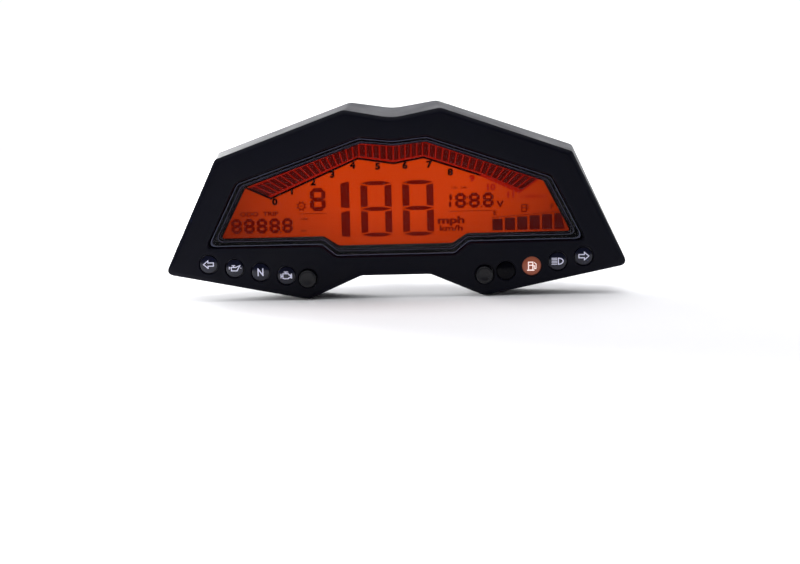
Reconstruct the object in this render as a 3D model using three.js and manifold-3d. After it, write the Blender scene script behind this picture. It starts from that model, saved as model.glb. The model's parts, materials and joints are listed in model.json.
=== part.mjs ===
// Motorcycle instrument cluster: a hooded liquid-crystal display, eight telltale lamps and two buttons.
// Millimetres, +Z up. The rider looks along +Y. The origin is the centre of the rear housing's back face.
import * as THREE from "three";
import { mergeVertices } from "three/addons/utils/BufferGeometryUtils.js";
import Module from "manifold-3d";

const wasm = await Module();
wasm.setup();

// Driving dimensions

// Gaps between neighbouring pieces.
const GAP = 0.3;
const SLIDE_GAP = 0.3;
const OVER = 1; // how far a cutter reaches past what it cuts
const WELD = 1e-4;

// Front bezel: the right half of its face outline, from the top centre round to the bottom centre.
const FACE_CORNERS = [
  { x: 0, z: 39.6, radius: 26 }, // dip between the two peaks
  { x: 22.0, z: 43.8, radius: 6 }, // peak
  { x: 81.5, z: 22.6, radius: 2.5 }, // shoulder
  { x: 106.8, z: -30.0, radius: 3.2 }, // wing tip
  { x: 40.6, z: -43.2, radius: 3 }, // bottom corner
  { x: 16.0, z: -32.6, radius: 5 }, // top of the notch that clears the ignition lock
];
// How far each corner moves on its way back to the parting plane.
const HOOD_FLARE = [
  { x: 0, z: 3.8 },
  { x: -1.6, z: 2.8 },
  { x: 2.0, z: 1.8 },
  { x: 1.6, z: -0.2 },
  { x: 0.4, z: -0.2 },
  { x: 0, z: -0.2 },
];
const FACE_TILT = THREE.MathUtils.degToRad(3); // the hood leans towards the rider at the top
const FACE_CHAMFER = 2.3;
const FACE_CHAMFER_DEPTH = 1.3;
const BEZEL_DEPTH = 26.4; // parting plane to the face, on the centre line
const BEZEL_WALL = 2.6;
const CORNER_STEPS = 3;
const CORNER_SHARE = 0.45; // most of a side that one rounded corner may take
const ROUND_SIDES = 16;
const FINE_SIDES = 20;

// Window opening in the bezel's face, right half.
const WINDOW_CORNERS = [
  { x: 0, z: 29.6, radius: 24 },
  { x: 15.4, z: 31.3, radius: 5 },
  { x: 72.2, z: 11.7, radius: 4 },
  { x: 87.4, z: -18.3, radius: 2.6 },
  { x: 34.0, z: -18.4, radius: 3 },
  { x: 27.4, z: -23.7, radius: 3 },
];
const WINDOW_FLANGE = 1.0;
const WINDOW_FLANGE_THICKNESS = 2.0;
const WINDOW_THICKNESS = 4.4;
const WINDOW_SEAT = 4.5; // face (on the centre line) to the back of the bezel's front plate

// Visible area of the display, right half.
const DISPLAY_CORNERS = [
  { x: 0, z: 26.0, radius: 24 },
  { x: 14.9, z: 27.4, radius: 5 },
  { x: 68.8, z: 8.6, radius: 1.5 },
  { x: 80.8, z: -14.6, radius: 0.8 },
  { x: 33.2, z: -14.6, radius: 3 },
  { x: 26.4, z: -19.0, radius: 2.5 },
];
const MASK_DEPTH = 3.0;
const MASK_STEP_INSET = 2.2;
const MASK_PLATE = 1.2;
const GLASS_THICKNESS = 1.1;
const GLASS_MARGIN = 2.6; // glass beyond the visible area
const DIFFUSER_THICKNESS = 0.4;
const GUIDE_THICKNESS = 2.7;
const GUIDE_MARGIN = 1.0;
const TRAY_FLOOR = 1.4;
const TRAY_RIM = 1.5;
const STRIP = { length: 30, height: 1.6, middle: 58 };

// Circuit board.
const BOARD_THICKNESS = 1.6;
const BOARD_TO_TRAY = 1.0;
const BOARD_EDGE = 1.6; // bezel's inner wall to the board's edge
const CHIP = { width: 14, height: 14, thickness: 1.6, x: -34, z: 2 };
const REGULATOR = { width: 10, height: 9, thickness: 4.4, x: 30, z: -2 };
const CAPACITOR = { radius: 5, length: 13, x: 48, z: -3 };

// Telltale lamps: four on each side, on a gentle arc.
const LAMPS_PER_SIDE = 4;
const LAMP_OUTER_X = 86.3;
const LAMP_OUTER_Z = -25.7;
const LAMP_PITCH = 11.9;
const LAMP_ROW_SLOPE = 0.181;
const LAMP_ROW_CURVE = 0.00036;
const LAMP_RADIUS = 4.1;
const LAMP_FLANGE = 0.4;
const LAMP_FLANGE_THICKNESS = 1.0;
const LAMP_DOME = 0.5;
const LAMP_SHOULDER = { radius: 0.55, rise: 0.7 }; // shares of the lens radius and of the dome
const LAMP_RECESS = 0.7; // lens edge below the face
const LED = { width: 3.5, height: 2.8, thickness: 1.9 };
const BOX_WALL = 0.8;
const BOX_CELL_RADIUS = 3.9;

// Push buttons.
const BUTTON_X = 40.7;
const BUTTON_RADIUS = 4.0;
const BUTTON_PROUD = 2.6;
const BUTTON_FLANGE = 0.6;
const BUTTON_FLANGE_THICKNESS = 1.0;
const BUTTON_EDGE = 0.7;
const BUTTON_TRAVEL = 1.2;
const STEM_RADIUS = 1.5;
const BOOT_THICKNESS = 0.8;
const BOOT_HEIGHT = 4.6;
const SWITCH = { side: 6, thickness: 3.4, plungerRadius: 1.5, plungerHeight: 1.6, socket: 1.5 };

// Rear housing.
const REAR_DEPTH = 23.0; // parting plane to the back face
const REAR_FLANGE = 2.4;
const REAR_WALL = 2.2;
const REAR_BOX_INSET = 12;
const REAR_BOX_TAPER = 2;
const SEAL_THICKNESS = 1.0;
const SEAL_INSET = 0.6;
const SEAL_WIDTH = 1.8;

// Screws that hold the two shells together.
const SCREW_SHANK = 1.45;
const SCREW_BORE = 1.5;
const SCREW_HOLE = 1.8;
const SCREW_HEAD = 2.9;
const SCREW_HEAD_HEIGHT = 2.0;
const SCREW_LENGTH = 10;
const SCREW_POINT = { radius: 0.725, length: 1.5 };
const SCREW_CROWN = { radius: 2.175, height: 1.0 };
const SCREW_DRIVE = { width: 0.8, length: 3.2, depth: 1.1 };
const BOSS_RADIUS = 3.2;
const BOSS_BORE_DEPTH = 12;
const SCREW_INSETS = { peak: 8, shoulder: 8.5, tip: 11.5, notch: 6.8 };

// Mounting studs on the back: two low at the sides and one high in the middle.
const STUD_SPREAD = 116;
const STUD_LOW_Z = -4;
const STUD_HIGH_Z = 19;
const STUD_RADIUS = 3.0;
const STUD_LENGTH = 14; // beyond the damper
const STUD_CHAMFER = 0.8;
const STUD_FLANGE = { radius: 4.6, thickness: 1.2 };
const MOUNT_BOSS = { radius: 9, height: 3 };
const DAMPER = { radius: 8, thickness: 5, waist: 0.9 };

// Main connector, between the lower studs.
const SOCKET = { width: 30, height: 13, wall: 1.6, x: 0, z: -9, floor: 1.0, mouth: 13, corner: 2 };
const PIN = { side: 0.7, length: 5, columns: 8, rows: 2, pitchX: 2.9, pitchZ: 3.8, carrier: 1.2 };

// Breather on the back.
const BREATHER = { radius: 5, thickness: 2.2, edge: 0.8, stem: 1.9, stemLength: 1.5, x: 36, z: 12 };

// Places along the depth

const sealFront = -REAR_DEPTH - SEAL_THICKNESS - GAP;
const bezelBack = sealFront - GAP;
const faceY = bezelBack - BEZEL_DEPTH; // on the centre line
const seatY = faceY + WINDOW_SEAT; // back of the bezel's front plate
const windowBack = seatY + GAP + WINDOW_FLANGE_THICKNESS;
const maskFront = windowBack + GAP;
const maskBack = maskFront + MASK_DEPTH;
const frontGlass = maskBack + GAP;
const rearGlass = frontGlass + GLASS_THICKNESS + GAP;
const diffuserFront = rearGlass + GLASS_THICKNESS + GAP;
const guideFront = diffuserFront + DIFFUSER_THICKNESS + GAP;
const trayFloor = guideFront + GUIDE_THICKNESS + GAP;
const boardFront = trayFloor + TRAY_FLOOR + BOARD_TO_TRAY;
const boardBack = boardFront + BOARD_THICKNESS;
const rearFlangeFront = -REAR_DEPTH;

// The face leans, so its depth follows height.
const faceAt = (z) => faceY - z * Math.tan(FACE_TILT);

// Outlines

// The whole outline, counter-clockwise seen by the rider, from the right half given top to bottom.
function mirrored(half) {
  const right = half.filter((corner) => corner.x > 0);
  const left = right.map((corner) => ({ ...corner, x: -corner.x })).reverse();
  const middle = half.filter((corner) => corner.x === 0);
  return [...middle, ...right, ...left].reverse();
}

// Moves each side of a closed outline inwards by distance (outwards if negative), and keeps sharp corners.
function inset(corners, distance) {
  const count = corners.length;
  return corners.map((corner, i) => {
    const before = corners[(i + count - 1) % count];
    const after = corners[(i + 1) % count];
    const a = new THREE.Vector2(corner.x - before.x, corner.z - before.z).normalize();
    const b = new THREE.Vector2(after.x - corner.x, after.z - corner.z).normalize();
    const normal = new THREE.Vector2(-a.y - b.y, a.x + b.x);
    const reach = distance / (normal.lengthSq() / 2);
    return { ...corner, x: corner.x + normal.x * reach, z: corner.z + normal.y * reach };
  });
}

// Rounds the corners. Each gives the same number of points, so outlines with equal corners can be lofted.
function rounded(corners, steps = CORNER_STEPS) {
  const count = corners.length;
  return corners.flatMap((corner, i) => {
    const here = new THREE.Vector2(corner.x, corner.z);
    const toBefore = cornerVector(corners[(i + count - 1) % count], here);
    const toAfter = cornerVector(corners[(i + 1) % count], here);
    const halfAngle = toBefore.angleTo(toAfter) / 2;
    const room = Math.min(toBefore.length(), toAfter.length()) * CORNER_SHARE;
    const cut = Math.min(corner.radius / Math.tan(halfAngle), room);
    const start = here.clone().addScaledVector(toBefore.normalize(), cut);
    const end = here.clone().addScaledVector(toAfter.normalize(), cut);
    return new THREE.QuadraticBezierCurve(start, here, end).getPoints(steps);
  });
}

const cornerVector = (corner, from) => new THREE.Vector2(corner.x - from.x, corner.z - from.y);

// A point inside an outline's corner, on its bisector.
function insideCorner(corners, index, distance) {
  const count = corners.length;
  const here = new THREE.Vector2(corners[index].x, corners[index].z);
  const toBefore = cornerVector(corners[(index + count - 1) % count], here).normalize();
  const toAfter = cornerVector(corners[(index + 1) % count], here).normalize();
  return here.addScaledVector(toBefore.add(toAfter).normalize(), distance);
}

// A point inside the middle of the side that joins two corners given counter-clockwise.
function insideSide(from, to, distance) {
  const along = new THREE.Vector2(to.x - from.x, to.z - from.z).normalize();
  const middle = new THREE.Vector2((from.x + to.x) / 2, (from.z + to.z) / 2);
  return middle.add(new THREE.Vector2(-along.y, along.x).multiplyScalar(distance));
}

const faceOutline = mirrored(FACE_CORNERS);
const flared = FACE_CORNERS.map((corner, i) => ({
  ...corner,
  x: corner.x + HOOD_FLARE[i].x,
  z: corner.z + HOOD_FLARE[i].z,
}));
const rearOutline = mirrored(flared);
const windowOutline = mirrored(WINDOW_CORNERS);
const displayOutline = mirrored(DISPLAY_CORNERS);

// Lamp and button centres on the right side, outermost first.
function lampRow(x) {
  const along = LAMP_OUTER_X - x;
  return LAMP_OUTER_Z - LAMP_ROW_SLOPE * along + LAMP_ROW_CURVE * along * along;
}
const lampCentres = Array.from({ length: LAMPS_PER_SIDE }, (_, i) => {
  const x = LAMP_OUTER_X - i * LAMP_PITCH;
  return new THREE.Vector2(x, lampRow(x));
});
const buttonCentre = new THREE.Vector2(BUTTON_X, lampRow(BUTTON_X));

// Screw centres on the right side.
const rightCorner = (i) => rearOutline.findIndex((c) => c.x === flared[i].x && c.z === flared[i].z);
const screwCentres = [
  insideCorner(rearOutline, rightCorner(1), SCREW_INSETS.peak),
  insideCorner(rearOutline, rightCorner(2), SCREW_INSETS.shoulder),
  insideCorner(rearOutline, rightCorner(3), SCREW_INSETS.tip),
  insideSide(flared[5], flared[4], SCREW_INSETS.notch),
];
const bothSides = (points) => [
  ...points.map((p) => ({ side: "right", x: p.x, z: p.y })),
  ...points.map((p) => ({ side: "left", x: -p.x, z: p.y })),
];
const studs = [
  { name: "left", x: -STUD_SPREAD / 2, z: STUD_LOW_Z },
  { name: "right", x: STUD_SPREAD / 2, z: STUD_LOW_Z },
  { name: "top", x: 0, z: STUD_HIGH_Z },
];

// Solids

// A manifold solid from a closed three.js geometry.
function solid(geometry) {
  const bare = geometry.index ? geometry.toNonIndexed() : geometry.clone();
  bare.deleteAttribute("normal");
  bare.deleteAttribute("uv");
  const merged = mergeVertices(bare, WELD);
  return new wasm.Manifold(
    new wasm.Mesh({
      numProp: 3,
      vertProperties: new Float32Array(merged.attributes.position.array),
      triVerts: new Uint32Array(merged.index.array),
    }),
  );
}

// A plate with an outline in X and Z, between two depths.
function plate(points, front, back) {
  const shape = new THREE.Shape(points.map((p) => new THREE.Vector2(p.x, p.y)));
  const geometry = new THREE.ExtrudeGeometry(shape, { depth: back - front, bevelEnabled: false });
  geometry.rotateX(Math.PI / 2);
  geometry.translate(0, back, 0);
  return solid(geometry);
}

const box = (x, z, width, height, front, back) =>
  solid(new THREE.BoxGeometry(width, back - front, height).translate(x, (front + back) / 2, z));

function rod(x, z, radius, front, back, sides = ROUND_SIDES) {
  const geometry = new THREE.CylinderGeometry(radius, radius, back - front, sides);
  return solid(geometry.translate(x, (front + back) / 2, z));
}

// A turned piece about an axis along Y, from [radius, depth] pairs closed on the axis or on itself.
function turned(x, z, profile, sides = ROUND_SIDES) {
  const points = profile.map(([radius, depth]) => new THREE.Vector2(radius, depth));
  return solid(new THREE.LatheGeometry(points, sides).translate(x, 0, z));
}

// A body through outlines of equal point counts, from front to back.
// A ring's depth is a number, or follows height.
function loft(rings) {
  const count = rings[0].points.length;
  const positions = [];
  for (const ring of rings)
    for (const p of ring.points)
      positions.push(p.x, typeof ring.depth === "function" ? ring.depth(p.y) : ring.depth, p.y);
  const index = [];
  for (let r = 0; r < rings.length - 1; r++)
    for (let i = 0; i < count; i++) {
      const next = (i + 1) % count;
      const a = r * count + i;
      const b = r * count + next;
      index.push(a, a + count, b, b, a + count, b + count);
    }
  const last = (rings.length - 1) * count;
  for (const [a, b, c] of THREE.ShapeUtils.triangulateShape(rings[0].points, []))
    index.push(a, b, c);
  for (const [a, b, c] of THREE.ShapeUtils.triangulateShape(rings.at(-1).points, []))
    index.push(last + a, last + c, last + b);
  const geometry = new THREE.BufferGeometry();
  geometry.setAttribute("position", new THREE.Float32BufferAttribute(positions, 3));
  geometry.setIndex(index);
  return solid(geometry);
}

// Materials

const finish = (color, roughness, metalness = 0) =>
  new THREE.MeshStandardMaterial({ color, roughness, metalness });
const materials = {
  shell: finish(0x17181c, 0.55),
  mask: finish(0x0b0c10, 0.2),
  clear: Object.assign(finish(0xdfe6ee, 0.05), { transparent: true, opacity: 0.25 }),
  display: finish(0xc84a08, 0.3),
  white: finish(0xe8e8e4, 0.6),
  board: finish(0x1d5a34, 0.5),
  chip: finish(0x1a1a1c, 0.4),
  rubber: finish(0x141416, 0.85),
  steel: finish(0x9a9ca0, 0.35, 1),
  lamp: finish(0x2c2e38, 0.15),
  amberLamp: finish(0xd86a3c, 0.2),
  metalCan: finish(0xb8bcc4, 0.3, 1),
  brass: finish(0xc8a24a, 0.35, 1),
};

const cluster = new THREE.Group();
function add(name, made, material) {
  const mesh = made.getMesh();
  const positions = new Float32Array(mesh.numVert * 3);
  for (let i = 0; i < mesh.numVert; i++)
    positions.set(mesh.vertProperties.subarray(i * mesh.numProp, i * mesh.numProp + 3), i * 3);
  const geometry = new THREE.BufferGeometry();
  geometry.setAttribute("position", new THREE.BufferAttribute(positions, 3));
  geometry.setIndex(new THREE.BufferAttribute(new Uint32Array(mesh.triVerts), 1));
  geometry.computeVertexNormals();
  const piece = new THREE.Mesh(geometry, material);
  piece.name = name;
  cluster.add(piece);
}

// Shells

function frontBezel() {
  const faceInner = rounded(inset(faceOutline, FACE_CHAMFER));
  let made = loft([
    { points: faceInner, depth: faceAt },
    { points: rounded(faceOutline), depth: (z) => faceAt(z) + FACE_CHAMFER_DEPTH },
    { points: rounded(rearOutline), depth: bezelBack },
  ]);
  const cavity = loft([
    { points: rounded(inset(faceOutline, BEZEL_WALL)), depth: seatY },
    { points: rounded(inset(rearOutline, BEZEL_WALL)), depth: bezelBack + OVER },
  ]);
  made = made.subtract(cavity);
  for (const { x, z } of bothSides(screwCentres)) {
    made = made.add(rod(x, z, BOSS_RADIUS, seatY - OVER, bezelBack));
    made = made.subtract(rod(x, z, SCREW_BORE, bezelBack - BOSS_BORE_DEPTH, bezelBack + OVER));
  }
  const faceTop = faceAt(FACE_CORNERS[1].z) - OVER;
  made = made.subtract(plate(rounded(windowOutline), faceTop, seatY + OVER));
  for (const { x, z } of bothSides(lampCentres))
    made = made.subtract(rod(x, z, LAMP_RADIUS + SLIDE_GAP, faceTop, seatY + OVER, FINE_SIDES));
  for (const { x, z } of bothSides([buttonCentre]))
    made = made.subtract(rod(x, z, BUTTON_RADIUS + SLIDE_GAP, faceTop, seatY + OVER, FINE_SIDES));
  add("front_bezel", made, materials.shell);
}

function rearHousing() {
  const boxFront = rounded(inset(rearOutline, REAR_BOX_INSET));
  const boxBack = rounded(inset(rearOutline, REAR_BOX_INSET + REAR_BOX_TAPER));
  const cavityFront = rounded(inset(rearOutline, REAR_BOX_INSET + REAR_WALL));
  const cavityBack = rounded(inset(rearOutline, REAR_BOX_INSET + REAR_WALL + REAR_BOX_TAPER));
  let made = plate(rounded(rearOutline), rearFlangeFront, rearFlangeFront + REAR_FLANGE).add(
    loft([
      { points: boxFront, depth: rearFlangeFront + REAR_FLANGE / 2 },
      { points: boxBack, depth: 0 },
    ]),
  );
  for (const { x, z } of studs)
    made = made.add(rod(x, z, MOUNT_BOSS.radius, -OVER, MOUNT_BOSS.height, FINE_SIDES));
  made = made.subtract(
    loft([
      { points: cavityFront, depth: rearFlangeFront - OVER },
      { points: cavityBack, depth: -REAR_WALL },
    ]),
  );
  for (const { x, z } of studs)
    made = made.subtract(
      rod(x, z, STUD_RADIUS + SLIDE_GAP, -REAR_WALL - OVER, MOUNT_BOSS.height + OVER),
    );
  for (const { x, z } of bothSides(screwCentres))
    made = made.subtract(rod(x, z, SCREW_HOLE, rearFlangeFront - OVER, rearFlangeFront + REAR_FLANGE + OVER));
  made = made.subtract(plate(socketOutline(GAP), -REAR_WALL - OVER, OVER));
  made = made.subtract(rod(BREATHER.x, BREATHER.z, BREATHER.stem + GAP, -REAR_WALL - OVER, OVER));
  add("rear_housing", made, materials.shell);
}

function housingSeal() {
  const outer = rounded(inset(rearOutline, SEAL_INSET));
  const inner = rounded(inset(rearOutline, SEAL_INSET + SEAL_WIDTH));
  const made = plate(outer, sealFront, sealFront + SEAL_THICKNESS).subtract(
    plate(inner, sealFront - OVER, sealFront + SEAL_THICKNESS + OVER),
  );
  add("housing_seal", made, materials.rubber);
}

// A pan-head screw with a cross recess, driven from the back into a bezel boss.
function shellScrews() {
  const headFront = rearFlangeFront + REAR_FLANGE + GAP;
  const headBack = headFront + SCREW_HEAD_HEIGHT;
  bothSides(screwCentres).forEach(({ x, z }, i) => {
    let made = turned(x, z, [
      [0, headFront - SCREW_LENGTH],
      [SCREW_POINT.radius, headFront - SCREW_LENGTH],
      [SCREW_SHANK - GAP, headFront - SCREW_LENGTH + SCREW_POINT.length],
      [SCREW_SHANK - GAP, headFront],
      [SCREW_HEAD, headFront],
      [SCREW_HEAD, headBack - SCREW_CROWN.height],
      [SCREW_CROWN.radius, headBack],
      [0, headBack],
    ]);
    const { width, length, depth } = SCREW_DRIVE;
    made = made.subtract(box(x, z, width, length, headBack - depth, headBack + OVER));
    made = made.subtract(box(x, z, length, width, headBack - depth, headBack + OVER));
    add("shell_screw_" + (i + 1), made, materials.steel);
  });
}

// Display

function windowLens() {
  const pane = rounded(inset(windowOutline, GAP));
  const flange = rounded(inset(windowOutline, -WINDOW_FLANGE));
  const made = plate(pane, windowBack - WINDOW_THICKNESS, windowBack).add(
    plate(flange, windowBack - WINDOW_FLANGE_THICKNESS, windowBack),
  );
  add("window_lens", made, materials.clear);
}

function displayMask() {
  const stepDepth = maskBack - MASK_PLATE;
  const made = plate(rounded(inset(windowOutline, -WINDOW_FLANGE)), maskFront, maskBack)
    .subtract(plate(rounded(inset(windowOutline, MASK_STEP_INSET)), maskFront - OVER, stepDepth))
    .subtract(plate(rounded(displayOutline), stepDepth - OVER, maskBack + OVER));
  add("display_mask", made, materials.mask);
}

function displayStack() {
  const glass = rounded(inset(displayOutline, -GLASS_MARGIN));
  const guide = rounded(inset(displayOutline, -GUIDE_MARGIN));
  add("lcd_front_glass", plate(glass, frontGlass, frontGlass + GLASS_THICKNESS), materials.display);
  add("lcd_rear_glass", plate(glass, rearGlass, rearGlass + GLASS_THICKNESS), materials.display);
  add("lcd_diffuser", plate(guide, diffuserFront, diffuserFront + DIFFUSER_THICKNESS), materials.white);
  add("light_guide", plate(guide, guideFront, guideFront + GUIDE_THICKNESS), materials.clear);
}

// White tray that holds the glass and reflects the backlight, with a slot for each contact strip.
const stripZ = DISPLAY_CORNERS[4].z - GUIDE_MARGIN - GAP - STRIP.height / 2;
function backlightTray() {
  const hollow = rounded(inset(displayOutline, -GLASS_MARGIN - GAP));
  const outer = rounded(inset(displayOutline, -GLASS_MARGIN - GAP - TRAY_RIM));
  let made = plate(outer, frontGlass, trayFloor + TRAY_FLOOR).subtract(
    plate(hollow, frontGlass - OVER, trayFloor),
  );
  const slotWidth = STRIP.length + 2 * GAP;
  const slotHeight = STRIP.height + 2 * GAP;
  for (const side of [-1, 1]) {
    const slot = box(side * STRIP.middle, stripZ, slotWidth, slotHeight, trayFloor - OVER, boardFront);
    made = made.subtract(slot);
  }
  add("backlight_tray", made, materials.white);
}

function contactStrips() {
  const front = rearGlass + GLASS_THICKNESS + GAP;
  for (const [name, side] of [["left", -1], ["right", 1]]) {
    const made = box(side * STRIP.middle, stripZ, STRIP.length, STRIP.height, front, boardFront - GAP);
    add("contact_strip_" + name, made, materials.rubber);
  }
}

// Electronics

function mainBoard() {
  let made = plate(rounded(inset(faceOutline, BEZEL_WALL + BOARD_EDGE)), boardFront, boardBack);
  for (const { x, z } of bothSides(screwCentres))
    made = made.subtract(rod(x, z, BOSS_RADIUS + GAP, boardFront - OVER, boardBack + OVER));
  add("main_board", made, materials.board);
}

function boardParts() {
  const behind = boardBack + GAP;
  for (const [name, part] of [["controller_chip", CHIP], ["voltage_regulator", REGULATOR]]) {
    const made = box(part.x, part.z, part.width, part.height, behind, behind + part.thickness);
    add(name, made, materials.chip);
  }
  const can = rod(CAPACITOR.x, CAPACITOR.z, CAPACITOR.radius, behind, behind + CAPACITOR.length);
  add("filter_capacitor", can, materials.metalCan);
}

// Telltale lamps

const LAMP_NAMES = {
  left: ["left_turn", "oil", "neutral", "engine"],
  right: ["right_turn", "high_beam", "fuel", "spare"],
};

function telltales() {
  const flangeFront = seatY + GAP;
  const lampBack = boardFront - GAP;
  bothSides(lampCentres).forEach(({ side, x, z }, i) => {
    const name = LAMP_NAMES[side][i % LAMPS_PER_SIDE];
    const edge = faceAt(z) + LAMP_RECESS;
    const made = turned(x, z, [
      [0, edge - LAMP_DOME],
      [LAMP_RADIUS * LAMP_SHOULDER.radius, edge - LAMP_DOME * LAMP_SHOULDER.rise],
      [LAMP_RADIUS, edge],
      [LAMP_RADIUS, flangeFront],
      [LAMP_RADIUS + LAMP_FLANGE, flangeFront],
      [LAMP_RADIUS + LAMP_FLANGE, flangeFront + LAMP_FLANGE_THICKNESS],
      [0, flangeFront + LAMP_FLANGE_THICKNESS],
    ]);
    add("lens_" + name, made, name === "fuel" ? materials.amberLamp : materials.lamp);
    if (name === "spare") return;
    const lamp = box(x, z, LED.width, LED.height, lampBack - LED.thickness, lampBack);
    add("led_" + name, lamp, materials.white);
  });
}

// White light box behind each row of lenses: one cell for each lamp and a guide for the button's stem.
function lightBoxOutline(side) {
  const row = [...lampCentres, buttonCentre];
  const reach = BOX_CELL_RADIUS + BOX_WALL;
  const first = row[0];
  const last = row.at(-1);
  const outline = [
    [first.x + reach, first.y + reach],
    ...row.map((p) => [p.x, p.y + reach]),
    [last.x - reach, last.y + reach],
    [last.x - reach, last.y - reach],
    ...row.map((p) => [p.x, p.y - reach]).reverse(),
    [first.x + reach, first.y - reach],
  ];
  return outline.map(([x, z]) => new THREE.Vector2(x * side, z));
}

function lightBoxes() {
  const front = seatY + GAP + LAMP_FLANGE_THICKNESS + GAP;
  const back = boardFront - GAP;
  const { x: buttonX, y: z } = buttonCentre;
  const pocket = SWITCH.side + 2 * GAP;
  for (const [name, side] of [["right", 1], ["left", -1]]) {
    const x = buttonX * side;
    let made = plate(lightBoxOutline(side), front, back);
    for (const p of lampCentres)
      made = made.subtract(rod(p.x * side, p.y, BOX_CELL_RADIUS, front - OVER, back + OVER));
    made = made
      .subtract(rod(x, z, STEM_RADIUS + SLIDE_GAP, front - OVER, back + OVER))
      .subtract(rod(x, z, BOX_CELL_RADIUS, front - OVER, bootBack))
      .subtract(rod(x, z, BUTTON_RADIUS + BUTTON_FLANGE + GAP, front - OVER, front + BUTTON_TRAVEL))
      .subtract(box(x, z, pocket, pocket, plungerFront - OVER, back + OVER));
    add("light_box_" + name, made, materials.white);
  }
}

// Push buttons

const flangeBack = seatY + GAP + BUTTON_FLANGE_THICKNESS;
const bootFront = flangeBack + GAP;
const bootBack = bootFront + BOOT_HEIGHT;
const switchBack = boardFront - GAP;
const switchFront = switchBack - SWITCH.thickness;
const plungerFront = switchFront - SWITCH.plungerHeight;

function buttonCap(x, z) {
  const top = faceAt(z) - BUTTON_PROUD;
  const stemEnd = plungerFront - GAP;
  return turned(x, z, [
    [0, top],
    [BUTTON_RADIUS - BUTTON_EDGE, top],
    [BUTTON_RADIUS, top + BUTTON_EDGE],
    [BUTTON_RADIUS, seatY + GAP],
    [BUTTON_RADIUS + BUTTON_FLANGE, seatY + GAP],
    [BUTTON_RADIUS + BUTTON_FLANGE, flangeBack],
    [STEM_RADIUS, flangeBack],
    [STEM_RADIUS, stemEnd],
    [0, stemEnd],
  ], FINE_SIDES);
}

// Rubber cone that springs the button back.
function buttonBoot(x, z) {
  const inner = STEM_RADIUS + GAP;
  const foot = BOX_CELL_RADIUS - GAP;
  const back = bootBack - GAP;
  return turned(x, z, [
    [inner, bootFront],
    [inner + BOOT_THICKNESS, bootFront],
    [foot, back - BOOT_THICKNESS],
    [foot, back],
    [inner + BOOT_THICKNESS, back],
    [inner, bootFront + BOOT_THICKNESS],
    [inner, bootFront],
  ]);
}

function switchBody(x, z) {
  const wellBack = switchFront + SWITCH.socket + BUTTON_TRAVEL + GAP;
  const well = rod(x, z, SWITCH.plungerRadius + SLIDE_GAP, switchFront - OVER, wellBack);
  return box(x, z, SWITCH.side, SWITCH.side, switchFront, switchBack).subtract(well);
}

function pushButtons() {
  for (const { side, x, z } of bothSides([buttonCentre])) {
    add("button_" + side, buttonCap(x, z), materials.shell);
    add("button_boot_" + side, buttonBoot(x, z), materials.rubber);
    add("switch_" + side, switchBody(x, z), materials.chip);
    const plunger = rod(x, z, SWITCH.plungerRadius, plungerFront, switchFront + SWITCH.socket);
    add("switch_plunger_" + side, plunger, materials.chip);
  }
}

// Mounting and connector

function mountingStuds() {
  const damperFront = MOUNT_BOSS.height + GAP;
  const damperBack = damperFront + DAMPER.thickness;
  for (const { name, x, z } of studs) {
    const stud = turned(x, z, [
      [0, -REAR_WALL - GAP - STUD_FLANGE.thickness],
      [STUD_FLANGE.radius, -REAR_WALL - GAP - STUD_FLANGE.thickness],
      [STUD_FLANGE.radius, -REAR_WALL - GAP],
      [STUD_RADIUS, -REAR_WALL - GAP],
      [STUD_RADIUS, damperBack + STUD_LENGTH - STUD_CHAMFER],
      [STUD_RADIUS - STUD_CHAMFER, damperBack + STUD_LENGTH],
      [0, damperBack + STUD_LENGTH],
    ]);
    add("mount_stud_" + name, stud, materials.steel);
    const inner = STUD_RADIUS + GAP;
    const middle = (damperFront + damperBack) / 2;
    const damper = turned(x, z, [
      [inner, damperFront],
      [DAMPER.radius, damperFront],
      [DAMPER.radius, middle - DAMPER.waist],
      [DAMPER.radius - DAMPER.waist, middle],
      [DAMPER.radius, middle + DAMPER.waist],
      [DAMPER.radius, damperBack],
      [inner, damperBack],
      [inner, damperFront],
    ], FINE_SIDES);
    add("mount_damper_" + name, damper, materials.rubber);
  }
}

// The connector's outline grown by a margin (shrunk if negative).
function socketOutline(margin) {
  const halfWidth = SOCKET.width / 2 + margin;
  const halfHeight = SOCKET.height / 2 + margin;
  const radius = SOCKET.corner + margin;
  return rounded([
    { x: SOCKET.x + halfWidth, z: SOCKET.z - halfHeight, radius },
    { x: SOCKET.x + halfWidth, z: SOCKET.z + halfHeight, radius },
    { x: SOCKET.x - halfWidth, z: SOCKET.z + halfHeight, radius },
    { x: SOCKET.x - halfWidth, z: SOCKET.z - halfHeight, radius },
  ]);
}

function mainConnector() {
  const body = plate(socketOutline(0), boardBack + GAP, SOCKET.mouth).subtract(
    plate(socketOutline(-SOCKET.wall), SOCKET.floor - GAP, SOCKET.mouth + OVER),
  );
  add("connector_body", body, materials.chip);
  const carrierBack = SOCKET.floor + PIN.carrier;
  let pins = plate(socketOutline(-SOCKET.wall - GAP), SOCKET.floor, carrierBack);
  for (let row = 0; row < PIN.rows; row++)
    for (let column = 0; column < PIN.columns; column++) {
      const x = SOCKET.x + (column - (PIN.columns - 1) / 2) * PIN.pitchX;
      const z = SOCKET.z + (row - (PIN.rows - 1) / 2) * PIN.pitchZ;
      const pin = box(x, z, PIN.side, PIN.side, SOCKET.floor + PIN.carrier / 2, carrierBack + PIN.length);
      pins = pins.add(pin);
    }
  add("connector_pins", pins, materials.brass);
}

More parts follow.
